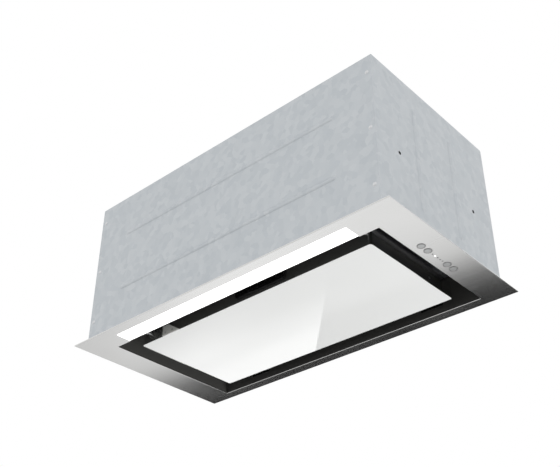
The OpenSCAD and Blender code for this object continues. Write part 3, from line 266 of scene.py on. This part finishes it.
def make_piece(name, mesh, materials, body):
    """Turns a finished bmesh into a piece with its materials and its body."""
    data = bpy.data.meshes.new(name)
    bmesh.ops.recalc_face_normals(mesh, faces=mesh.faces)
    mesh.to_mesh(data)
    mesh.free()
    for material in materials:
        data.materials.append(material)
    piece = bpy.data.objects.new(name, data)
    bpy.context.scene.collection.objects.link(piece)
    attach(piece, body)
    return piece


# The two flat faces have a corner for every point of the outline, and show the paint. The others have
# four corners, and are edge.
mesh = bmesh.new()
stack_outlines(mesh, [
    (round_outline(glass_low, glass_high, inset, corner_r, corner_steps), z)
    for inset, z in (
        (chamfer, glass_low.z), (0, glass_low.z + chamfer),
        (0, glass_high.z - chamfer), (chamfer, glass_high.z),
    )
])
for face in mesh.faces:
    face.material_index = 0 if len(face.verts) > 4 else 1
pane = make_piece("glass_pane", mesh, [glass, glass_edge], "panel")
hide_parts("panel_glass")

# Panel tray
# A shallow tray of bright rolled stainless steel, deep drawn, with walls that reach down round the
# glass. They are nearly a mirror, and show the dark recess, the tray guide and the lamp leads' cover.
mirror, tree, skin, place = start_finish("stainless_steel_bright_rolled", "#E4E4E4", 0.07, 1.0)
waves = add(tree, "ShaderNodeTexNoise", {"Vector": place, "Scale": 1 / (45 * MM), "Detail": 1})
add(tree, "ShaderNodeBump", {
    "Height": waves.outputs["Fac"], "Strength": 0.08, "Distance": 0.3 * MM,
}, to=skin["Normal"])
add(tree, "ShaderNodeMapRange", {
    "Value": waves.outputs["Fac"], "To Min": 0.05, "To Max": 0.1,
}, to=skin["Roughness"])
dress(mirror, "panel_tray")

# Hinges
# A leaf welded to the tray and a bracket screwed to the recess make each hinge. Both are bent from
# sheet and enamelled black, with the faint orange peel of a sprayed and baked coat.
enamel, tree, skin, place = start_finish("enamel_gloss_black", "#0D0D0E", 0.14, ior=1.5)
peel = add(tree, "ShaderNodeTexNoise", {"Vector": place, "Scale": 1 / (2.5 * MM), "Detail": 2})
add(tree, "ShaderNodeBump", {
    "Height": peel.outputs["Fac"], "Strength": 0.12, "Distance": 0.1 * MM,
}, to=skin["Normal"])
add(tree, "ShaderNodeMapRange", {
    "Value": peel.outputs["Fac"], "To Min": 0.1, "To Max": 0.2,
}, to=skin["Roughness"])
dress(enamel, "hinge_leaf_left", "hinge_leaf_right", "hinge_bracket_left", "hinge_bracket_right")

# Small steel parts
# The tray's studs, the hinge pins, the rotor's shaft, screws and nuts are turned or headed from steel
# and zinc plated, which leaves a bright, slightly blue and cloudy skin.
zinc, tree, skin, place = start_finish("steel_zinc_plated", "#C4C8CC", 0.3, 1.0)
cloud = add(tree, "ShaderNodeTexNoise", {"Vector": place, "Scale": 1 / (6 * MM), "Detail": 3})
add(tree, "ShaderNodeMixRGB", {
    "Fac": cloud.outputs["Fac"], "Color1": linear("#B9BEC6"), "Color2": linear("#CECDC6"),
}, to=skin["Base Color"])
add(tree, "ShaderNodeMapRange", {
    "Value": cloud.outputs["Fac"], "To Min": 0.2, "To Max": 0.42,
}, to=skin["Roughness"])
dress(
    zinc, "catch_studs", "hinge_pins", "recess_screws", "fascia_nuts",
    "scroll_screws", "impeller_nut", "rotor_shaft", "motor_screws", "collar_screws",
)

# Recess
# The deep frame behind the opening is folded from steel sheet and powder coated in a dark warm grey.
# The coat is satin, with a fine orange peel, and the tray's walls mirror it.
coat, tree, skin, place = start_finish("powder_coat_dark_grey", "#4C4C4A", 0.38, ior=1.5)
peel = add(tree, "ShaderNodeTexNoise", {"Vector": place, "Scale": 1 / (1.6 * MM), "Detail": 3})
add(tree, "ShaderNodeBump", {
    "Height": peel.outputs["Fac"], "Strength": 0.2, "Distance": 0.1 * MM,
}, to=skin["Normal"])
add(tree, "ShaderNodeMixRGB", {
    "Fac": peel.outputs["Fac"], "Color1": linear("#484846"), "Color2": linear("#50504E"),
}, to=skin["Base Color"])
add(tree, "ShaderNodeMapRange", {
    "Value": peel.outputs["Fac"], "To Min": 0.32, "To Max": 0.44,
}, to=skin["Roughness"])
dress(coat, "recess_frame")

# Tray guide
# A thin plate moulded from nearly white plastic, screwed to the front wall of the recess, for the tray
# to slide past as it shuts. It shows in the gap, mirrored by the tray's bright wall. Its fine grain,
# like that of the other mouldings, is drawn about 1 mm coarse.
pale, tree, skin, place = start_finish("abs_pale_moulded", "#EFEFEA", 0.45, ior=1.53)
texture = add(tree, "ShaderNodeTexNoise", {"Vector": place, "Scale": 1 / (0.8 * MM), "Detail": 3})
add(tree, "ShaderNodeBump", {
    "Height": texture.outputs["Fac"], "Strength": 0.2, "Distance": 0.1 * MM,
}, to=skin["Normal"])
add(tree, "ShaderNodeMapRange", {
    "Value": texture.outputs["Fac"], "To Min": 0.38, "To Max": 0.55,
}, to=skin["Roughness"])
dress(pale, "tray_guide")

# Dark mouldings
# The lamp leads' cover, the filter latches, the control carrier, the collar with its flaps and the
# gland are moulded from black polypropylene with a spark grain. The catches are dark grey acetal,
# which is tougher and smoother.
black, tree, skin, place = start_finish("polypropylene_black_moulded", "#1C1C1D", 0.42, ior=1.49)
texture = add(tree, "ShaderNodeTexNoise", {"Vector": place, "Scale": 1 / (0.9 * MM), "Detail": 3})
add(tree, "ShaderNodeBump", {
    "Height": texture.outputs["Fac"], "Strength": 0.25, "Distance": 0.1 * MM,
}, to=skin["Normal"])
add(tree, "ShaderNodeMapRange", {
    "Value": texture.outputs["Fac"], "To Min": 0.34, "To Max": 0.52,
}, to=skin["Roughness"])
dress(
    black, "lamp_lead_cover", "filter_latch_left", "filter_latch_right", "control_carrier",
    "outlet_collar", "flap_front", "flap_rear", "cable_gland",
)
dark, tree, skin, place = start_finish("acetal_dark_grey_moulded", "#4E4F4D", 0.32, ior=1.48)
texture = add(tree, "ShaderNodeTexNoise", {"Vector": place, "Scale": 1 / (1.2 * MM), "Detail": 2})
add(tree, "ShaderNodeMapRange", {
    "Value": texture.outputs["Fac"], "To Min": 0.26, "To Max": 0.4,
}, to=skin["Roughness"])
dress(dark, "catch_left", "catch_right")

# Filters
# Two cassettes hold grease: rolled aluminium channels round a pleated pack of expanded mesh, slit and
# stretched, which leaves it dull with paler spots. The solid has a plain pleated sheet, so two real
# nets replace it, diamond by diamond, one in the other's holes.
dress(aluminium, "filter_frame_left", "filter_frame_right")
net_metal, tree, skin, place = start_finish("aluminium_expanded_mesh", "#D4D6D8", 0.55, 1.0)
spots = add(tree, "ShaderNodeTexNoise", {"Vector": place, "Scale": 1 / (3 * MM), "Detail": 2})
add(tree, "ShaderNodeMapRange", {
    "Value": spots.outputs["Fac"], "To Min": 0.45, "To Max": 0.65,
}, to=skin["Roughness"])
add(tree, "ShaderNodeMixRGB", {
    "Fac": spots.outputs["Fac"], "Color1": linear("#CACCCF"), "Color2": linear("#DEE0E2"),
}, to=skin["Base Color"])

# The nets keep clear of the pocket in the cassette's front edge, in which the latch slides.
pleats = 44
columns = 2 * pleats
strand = 0.9 * MM
diamond_l = 7.2 * MM
pocket_half, pocket_depth = 30.3 * MM, 31.3 * MM
clear_x, clear_y = 3.5 * MM, 4 * MM


def knot_place(low, high, rows, layer, column, row):
    """Where strands cross at a half column and half row, on the zigzag of the pleats."""
    fold = abs((column * pleats / columns + layer + 1) % 2 - 1)
    return (
        low.x + strand / 2 + (high.x - low.x - strand) * column / columns,
        low.y + strand / 2 + (high.y - low.y - strand) * row / (2 * rows),
        low.z + strand / 2 + (high.z - low.z - strand) * fold,
    )


def weave_net(mesh, low, high, middle, pocket_end):
    """Fills the box from low to high with diamonds, in two layers, but leaves out the pocket."""
    rows = round((high.y - low.y - strand) / diamond_l)
    knots = {}
    for layer in (0, 1):
        for column in range(1, columns):
            for row in range(1, 2 * rows):
                if (column + row + layer) % 2:
                    continue
                x = low.x + (high.x - low.x) * column / columns
                y = low.y + (high.y - low.y) * row / (2 * rows)
                if abs(x - middle) < pocket_half + clear_x and y < pocket_end:
                    continue
                diamond = [
                    (layer, column + 1, row), (layer, column, row + 1),
                    (layer, column - 1, row), (layer, column, row - 1),
                ]
                for corner in diamond:
                    if corner not in knots:
                        knots[corner] = mesh.verts.new(knot_place(low, high, rows, *corner))
                mesh.faces.new([knots[corner] for corner in diamond])


for side in ("left", "right"):
    low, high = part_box("filter_mesh_" + side)
    frame_low, frame_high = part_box("filter_frame_" + side)
    middle = (frame_low.x + frame_high.x) / 2
    mesh = bmesh.new()
    weave_net(mesh, low, high, middle, frame_low.y + pocket_depth + clear_y)
    net = make_piece("filter_net_" + side, mesh, [net_metal], "housing")
    wires = net.modifiers.new("strands", "WIREFRAME")
    wires.thickness = strand
    wires.offset = 0
    wires.use_even_offset = False
    wires.use_boundary = True
    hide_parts("filter_mesh_" + side)

# Housing
# A wrap and two side plates of galvanised steel sheet, bent, beaded and riveted together with blind
# rivets. The zinc shows its spangle, frost-like flakes about 9 mm wide with ragged edges, each with
# its own gloss.
galvanised, tree, skin, place = start_finish("steel_galvanised_spangle", "#A9AEB2", 0.4, 1.0)
flake_size = 9 * MM
ragged = 4 * MM
wobble = add(tree, "ShaderNodeTexNoise", {"Vector": place, "Scale": 1 / (5 * MM), "Detail": 3})
shift = add(tree, "ShaderNodeVectorMath", {
    0: wobble.outputs["Color"], 1: (ragged, ragged, ragged),
}, operation="MULTIPLY")
bent = add(tree, "ShaderNodeVectorMath", {0: place, 1: shift.outputs[0]}, operation="ADD")
flakes = add(tree, "ShaderNodeTexVoronoi", {"Vector": bent.outputs[0], "Scale": 1 / flake_size})
shade = add(tree, "ShaderNodeSeparateColor", {"Color": flakes.outputs["Color"]})
add(tree, "ShaderNodeMixRGB", {
    "Fac": shade.outputs["Red"], "Color1": linear("#BABFC3"), "Color2": linear("#C3C7CA"),
}, to=skin["Base Color"])
add(tree, "ShaderNodeMapRange", {
    "Value": shade.outputs["Green"], "To Min": 0.36, "To Max": 0.44,
}, to=skin["Roughness"])
add(tree, "ShaderNodeBump", {
    "Height": wobble.outputs["Fac"], "Strength": 0.12, "Distance": 0.1 * MM,
}, to=skin["Normal"])
dress(
    galvanised, "housing_wrap", "side_plate_left", "side_plate_right", "motor_cap_inner",
    "motor_cap_outer", "motor_bracket",
)
dress(aluminium, "housing_rivets")

# Blower
# The two halves of the scroll are moulded from glass filled polypropylene, dark grey and finely
# grained. The double inlet impeller is a smoother moulding in dark blue.
grey, tree, skin, place = start_finish("polypropylene_glass_filled_grey", "#3E4144", 0.5, ior=1.49)
flow = add(tree, "ShaderNodeTexNoise", {"Vector": place, "Scale": 1 / (1.2 * MM), "Detail": 4})
add(tree, "ShaderNodeBump", {
    "Height": flow.outputs["Fac"], "Strength": 0.3, "Distance": 0.15 * MM,
}, to=skin["Normal"])
swirl = add(tree, "ShaderNodeTexNoise", {"Vector": place, "Scale": 1 / (40 * MM), "Detail": 2})
add(tree, "ShaderNodeMixRGB", {
    "Fac": swirl.outputs["Fac"], "Color1": linear("#393C3F"), "Color2": linear("#44474A"),
}, to=skin["Base Color"])
dress(grey, "scroll_left", "scroll_right")
blue, tree, skin, place = start_finish("polypropylene_dark_blue", "#314A61", 0.36, ior=1.49)
swirl = add(tree, "ShaderNodeTexNoise", {"Vector": place, "Scale": 1 / (15 * MM), "Detail": 2})
add(tree, "ShaderNodeMixRGB", {
    "Fac": swirl.outputs["Fac"], "Color1": linear("#2C4459"), "Color2": linear("#365068"),
}, to=skin["Base Color"])
dress(blue, "impeller")

# Motor
# A stack of punched electrical steel between two galvanised caps, with windings of enamelled copper
# wire laid in rounds, on a bracket with three dull black rubber bushes. The sheets of the stack are
# 0.5 mm thick and the wire is thinner still; both are drawn coarser, so that they show.
stack, tree, skin, place = start_finish("electrical_steel_laminations", "#9A9DA0", 0.42, 1.0)
sheet_pitch = 1 * MM
add(tree, "ShaderNodeBump", {
    "Height": wave_along_x(tree, place, sheet_pitch, "SINE"), "Strength": 0.4, "Distance": 0.1 * MM,
}, to=skin["Normal"])
dress(stack, "motor_core")
copper, tree, skin, place = start_finish("copper_wire_enamelled", "#B8703C", 0.24, 1.0)
wire_pitch = 0.8 * MM
add(tree, "ShaderNodeBump", {
    "Height": wave_along_x(tree, place, wire_pitch, "SINE"), "Strength": 0.6, "Distance": 0.2 * MM,
}, to=skin["Normal"])
dress(copper, "motor_windings")
rubber, tree, skin, place = start_finish("rubber_soft_black", "#1A1A1A", 0.8, ior=1.52)
dust = add(tree, "ShaderNodeTexNoise", {"Vector": place, "Scale": 1 / (0.8 * MM), "Detail": 3})
add(tree, "ShaderNodeMixRGB", {
    "Fac": dust.outputs["Fac"], "Color1": linear("#151515"), "Color2": linear("#222222"),
}, to=skin["Base Color"])
dress(rubber, "motor_bushes")

# Electrics
# A box and lid of the same pale plastic as the tray guide, holding the power board, the motor's
# capacitor and the terminals. The boards are glass fibre with a green solder mask over their tracks,
# which run along the edges of cells 4 mm wide, and reach 0.12 of a cell to each side.
dress(pale, "control_box", "control_box_lid", "capacitor", "terminal_block", "led_board")
board, tree, skin, place = start_finish("glass_fibre_green_solder_mask", "#2B6A47", 0.28, ior=1.5)
track_reach = 0.12
tracks = add(tree, "ShaderNodeTexVoronoi", {
    "Vector": place, "Scale": 1 / (4 * MM),
}, feature="DISTANCE_TO_EDGE")
track = add(tree, "ShaderNodeMath", {0: tracks.outputs["Distance"], 1: track_reach}, operation="LESS_THAN")
add(tree, "ShaderNodeMixRGB", {
    "Fac": track.outputs[0], "Color1": linear("#245C3D"), "Color2": linear("#3C8058"),
}, to=skin["Base Color"])
dress(board, "power_board", "control_board")

# Stage
# A plain pale floor far below the hood, white air round it and three large soft lamps. Sizes and
# places are in metres. The floor and the air look brighter than the light that they give, so that
# nothing pale on the hood clips.
floor_z, floor_half = -2.6, 14
floor_lift = 0.42
floor = bpy.data.objects.new("floor", bpy.data.meshes.new("floor"))
corners = [(x * floor_half, y * floor_half, floor_z) for x, y in ((-1, -1), (1, -1), (1, 1), (-1, 1))]
floor.data.from_pydata(corners, [], [(0, 1, 2, 3)])
bpy.context.scene.collection.objects.link(floor)
pale_floor, tree, skin, place = start_finish("floor_pale_matt", "#F2F2F1", 0.6)
skin["Specular IOR Level"].default_value = 0.2


def seen_directly(tree):
    """1 where a ray comes from the camera, a mirror or clear glass, so that it lights nothing."""
    path = add(tree, "ShaderNodeLightPath")
    seen = add(tree, "ShaderNodeMath", {
        0: path.outputs["Is Camera Ray"], 1: path.outputs["Is Glossy Ray"],
    }, operation="MAXIMUM")
    seen = add(tree, "ShaderNodeMath", {
        0: seen.outputs[0], 1: path.outputs["Is Transmission Ray"],
    }, operation="MAXIMUM")
    return seen.outputs[0]


paler = add(tree, "ShaderNodeMath", {0: seen_directly(tree), 1: floor_lift}, operation="MULTIPLY")
lift = add(tree, "ShaderNodeEmission", {"Strength": paler.outputs[0]})
add(tree, "ShaderNodeAddShader", {
    0: tree.nodes["Principled BSDF"].outputs[0], 1: lift.outputs[0],
}, to=tree.nodes["Material Output"].inputs["Surface"])
floor.data.materials.append(pale_floor)

world = bpy.data.worlds.new("studio")
bpy.context.scene.world = world
world.use_nodes = True
tree = world.node_tree
tree.nodes.clear()
air = add(tree, "ShaderNodeBackground", {"Color": linear("#FFFFFF"), "Strength": 0.36})
backdrop = add(tree, "ShaderNodeBackground", {"Color": linear("#FFFFFF"), "Strength": 1})
both = add(tree, "ShaderNodeMixShader", {0: seen_directly(tree), 1: air.outputs[0], 2: backdrop.outputs[0]})
add(tree, "ShaderNodeOutputWorld", {"Surface": both.outputs[0]})

for name, at, aim, size, watts in (
    ("lamp_front", (-1.4, -2.6, 0.2), (0, 0, 0.05), 2.2, 12),
    ("lamp_right", (2.4, -0.4, 0.9), (0.1, 0, 0.1), 1.8, 14),
    ("lamp_below", (1.0, 0.75, -1.5), (0, 0, 0), 1.6, 29),
):
    light = bpy.data.lights.new(name, "AREA")
    light.shape = "SQUARE"
    light.size = size
    light.energy = watts
    lamp = bpy.data.objects.new(name, light)
    lamp.location = at
    lamp.rotation_euler = (Vector(aim) - Vector(at)).to_track_quat("-Z", "Y").to_euler()
    lamp.visible_camera = False
    lamp.visible_glossy = False
    bpy.context.scene.collection.objects.link(lamp)

# Two cards stand behind the hood, where only reflections see them. The first is what the brushed steel
# mirrors: pale below, brightest 0.4 m left of the middle, with a soft change to dark towards the hood.
# The dark part's edge is slanted and lies lower on the left.
card_y = 0.3
dark_from, dark_to = -0.21, -0.165
dark_slant = -0.024


def put_card(name, x_span, z_span, y, material):
    """An upright card at y, that only reflections see."""
    (left, right), (bottom, top) = x_span, z_span
    corners = [(left, y, bottom), (right, y, bottom), (right, y, top), (left, y, top)]
    card = bpy.data.objects.new(name, bpy.data.meshes.new(name))
    card.data.from_pydata(corners, [], [(0, 1, 2, 3)])
    card.data.materials.append(material)
    bpy.context.scene.collection.objects.link(card)
    card.visible_camera = False
    card.visible_diffuse = False
    card.visible_transmission = False
    card.visible_volume_scatter = False
    card.visible_shadow = False
    return card


def start_card(name):
    """A new material for a card: its empty node tree, and how far along X and up a point lies."""
    made = bpy.data.materials.new(name)
    made.use_nodes = True
    tree = made.node_tree
    tree.nodes.clear()
    spot = add(tree, "ShaderNodeSeparateXYZ", {"Vector": add(tree, "ShaderNodeTexCoord").outputs["Object"]})
    return made, tree, spot.outputs["X"], spot.outputs["Z"]


def fade_to_dark(tree, along, up, below, inside):
    """Changes softly from the value below the dark part to the value inside it."""
    height = add(tree, "ShaderNodeMath", {0: along, 1: dark_slant, 2: up}, operation="MULTIPLY_ADD")
    return add(tree, "ShaderNodeMapRange", {
        "Value": height.outputs[0], "From Min": dark_from, "From Max": dark_to,
        "To Min": below, "To Max": inside,
    }, interpolation_type="SMOOTHSTEP").outputs[0]


card_paint, tree, along, up = start_card("card_pale_to_dark")
fade = fade_to_dark(tree, along, up, 1, 0.02)
rise = add(tree, "ShaderNodeMapRange", {
    "Value": along, "From Min": -1.0, "From Max": -0.42, "To Min": 0.8, "To Max": 1.14,
}, interpolation_type="SMOOTHSTEP")
fall = add(tree, "ShaderNodeMapRange", {
    "Value": along, "From Min": -0.4, "From Max": 0.05, "To Min": 1, "To Max": 0.9,
}, interpolation_type="SMOOTHSTEP")
sideways = add(tree, "ShaderNodeMath", {0: rise.outputs[0], 1: fall.outputs[0]}, operation="MULTIPLY")
shown = add(tree, "ShaderNodeMath", {0: sideways.outputs[0], 1: fade}, operation="MULTIPLY")
lit = add(tree, "ShaderNodeEmission", {"Strength": shown.outputs[0]})
add(tree, "ShaderNodeOutputMaterial", {"Surface": lit.outputs[0]})
put_card("card_for_steel", (-1.6, 0.7), (-0.6, -0.002), card_y, card_paint)

# The second card is clear, and its pale glow falls only on the glass, which mirrors it as a bright
# field. The field grows brighter upwards, ends on the right at a slanted edge and is dimmer low down
# near that edge. In front of the first card's dark part the whole card glows a little.
card_glow, tree, along, up = start_card("card_glow")
power = add(tree, "ShaderNodeMapRange", {
    "Value": up, "From Min": -0.29, "From Max": -0.152, "To Min": 0.2, "To Max": 2.15,
})
field_end = add(tree, "ShaderNodeMapRange", {
    "Value": up, "From Min": -0.3, "From Max": -0.08, "To Min": -0.135, "To Max": -0.193,
})
in_field = add(tree, "ShaderNodeMath", {0: along, 1: field_end.outputs[0]}, operation="LESS_THAN")
near_end = add(tree, "ShaderNodeMapRange", {
    "Value": along, "From Min": -0.5, "From Max": -0.25, "To Min": 0, "To Max": 1,
}, interpolation_type="SMOOTHSTEP")
low_down = add(tree, "ShaderNodeMapRange", {
    "Value": up, "From Min": -0.24, "From Max": -0.16, "To Min": 0.85, "To Max": 0,
})
dim = add(tree, "ShaderNodeMath", {0: near_end.outputs[0], 1: low_down.outputs[0]}, operation="MULTIPLY")
kept = add(tree, "ShaderNodeMath", {0: 1, 1: dim.outputs[0]}, operation="SUBTRACT")
power = add(tree, "ShaderNodeMath", {0: power.outputs[0], 1: kept.outputs[0]}, operation="MULTIPLY")
field = add(tree, "ShaderNodeMath", {0: power.outputs[0], 1: in_field.outputs[0]}, operation="MULTIPLY")
rest = fade_to_dark(tree, along, up, 0, 0.6)
shine = add(tree, "ShaderNodeMath", {0: field.outputs[0], 1: rest}, operation="ADD")
lit = add(tree, "ShaderNodeEmission", {"Strength": shine.outputs[0]})
clear = add(tree, "ShaderNodeBsdfTransparent")
both = add(tree, "ShaderNodeAddShader", {0: lit.outputs[0], 1: clear.outputs[0]})
add(tree, "ShaderNodeOutputMaterial", {"Surface": both.outputs[0]})
glow_card = put_card("card_for_glass", (-0.8, 0.6), (-0.3, -0.03), card_y - 0.005, card_glow)
only_glass = bpy.data.collections.new("lit_by_card")
only_glass.objects.link(pane)
glow_card.light_linking.receiver_collection = only_glass

bpy.context.scene.view_settings.view_transform = "Standard"
